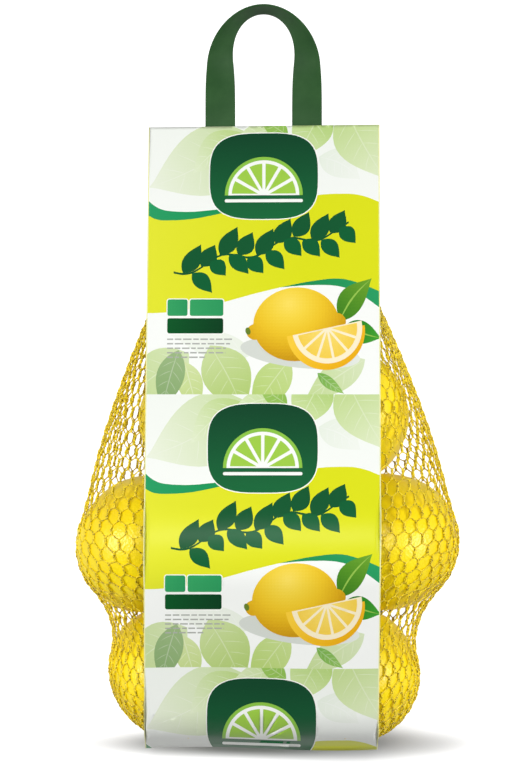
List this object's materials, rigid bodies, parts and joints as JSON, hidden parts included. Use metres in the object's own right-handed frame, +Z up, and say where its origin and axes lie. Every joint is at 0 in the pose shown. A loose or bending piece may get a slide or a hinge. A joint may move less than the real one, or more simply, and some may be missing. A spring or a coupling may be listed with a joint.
{
  "type": "net bag of lemons",
  "caption": "Knitted yellow net bag of lemons between a front and a back film band, with a ribbon carrying handle.",
  "frame": {"origin": "middle of the object's bounding box, at its base: the plane of the table that the back band lies on", "axes": "+Y along the pack from its bottom seam to its handle, +Z up, out of the printed front, +X to the right seen from the front"},
  "size_m": [0.1652, 0.3254, 0.0982],
  "materials": {
    "net": "knitted yellow plastic thread over fresh lemons",
    "front_film": "satin printed film, pale green with yellow and green fields",
    "back_film": "satin printed film, pale green",
    "ribbon": "dark green satin plastic ribbon"
  },
  "bodies": {
    "root": {"net_bag": "net", "front_band": "front_film", "back_band": "back_film", "handle": "ribbon"}
  },
  "joints": []
}
